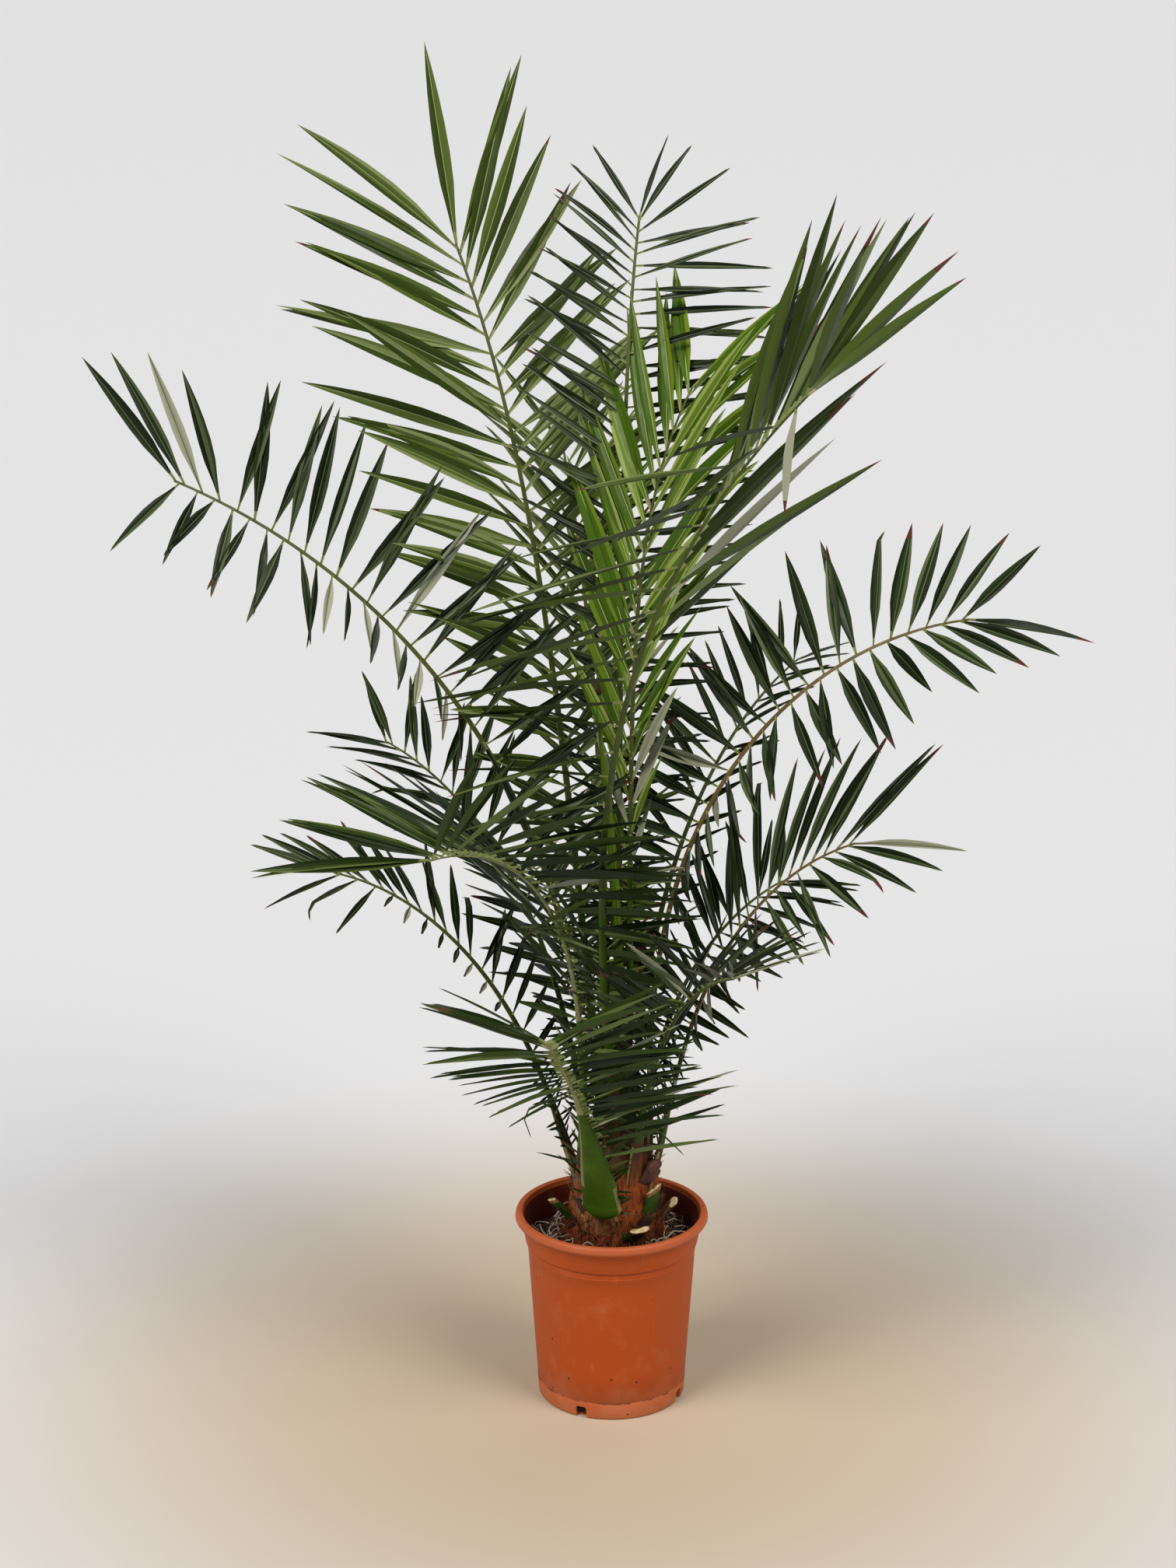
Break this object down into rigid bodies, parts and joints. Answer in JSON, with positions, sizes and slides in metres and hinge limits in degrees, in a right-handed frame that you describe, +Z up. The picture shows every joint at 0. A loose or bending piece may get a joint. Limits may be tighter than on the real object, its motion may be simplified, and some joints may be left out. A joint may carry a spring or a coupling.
{
  "type": "potted canary island date palm",
  "caption": "Young potted date palm: arching feather-shaped fronds on a squat fibrous trunk, standing in the soil of a round plastic nursery pot.",
  "frame": {"origin": "middle of the flat underside of the pot", "axes": "+Z up, +X to the right and +Y away as the plant is seen from its front"},
  "size_m": [1.2453, 1.0103, 1.6605],
  "materials": {
    "pot_plastic": "moulded terracotta-coloured plastic, satin",
    "potting_soil": "dark fibrous peat, loose",
    "trunk_fibre": "matted orange-brown leaf-base fibre",
    "cut_stub": "pale cut leaf bases",
    "stalk_skin": "smooth waxy green stalk",
    "spear_leaf": "unopened leaf, bright green",
    "leaf_bright": "young leaflets, satin",
    "leaf_mid": "mature leaflets, satin",
    "leaf_dark": "old leaflets, satin"
  },
  "bodies": {
    "root": {"frond_back_left_blade": "leaf_dark", "frond_back_left_stalk": "stalk_skin", "frond_back_right_blade": "leaf_dark", "frond_back_right_stalk": "stalk_skin", "frond_bottom_front_blade": "leaf_mid", "frond_bottom_front_stalk": "stalk_skin", "frond_front_left_blade_1": "leaf_mid", "frond_front_left_blade_2": "leaf_mid", "frond_front_left_stalk": "stalk_skin", "frond_front_right_blade": "leaf_dark", "frond_front_right_stalk": "stalk_skin", "frond_high_back_blade": "leaf_mid", "frond_high_back_stalk": "stalk_skin", "frond_long_left_blade_1": "leaf_mid", "frond_long_left_blade_2": "leaf_mid", "frond_long_left_stalk": "stalk_skin", "frond_long_right_blade_1": "leaf_dark", "frond_long_right_blade_2": "leaf_dark", "frond_long_right_stalk": "stalk_skin", "frond_low_back_blade": "leaf_dark", "frond_low_back_stalk": "stalk_skin", "frond_low_left_blade": "leaf_dark", "frond_low_left_stalk": "stalk_skin", "frond_low_right_blade": "leaf_dark", "frond_low_right_stalk": "stalk_skin", "frond_side_right_blade": "leaf_dark", "frond_side_right_stalk": "stalk_skin", "frond_top_back_blade": "leaf_dark", "frond_top_back_stalk": "stalk_skin", "frond_upper_left_blade": "leaf_mid", "frond_upper_left_stalk": "stalk_skin", "frond_upper_right_blade": "leaf_mid", "frond_upper_right_stalk": "stalk_skin", "frond_young_centre_blade": "leaf_bright", "frond_young_centre_stalk": "stalk_skin", "pot": "pot_plastic", "soil": "potting_soil", "spear": "spear_leaf", "stub_back": "cut_stub", "stub_far_right": "cut_stub", "stub_front": "cut_stub", "stub_left": "cut_stub", "stub_right": "cut_stub", "trunk": "trunk_fibre"}
  },
  "joints": []
}
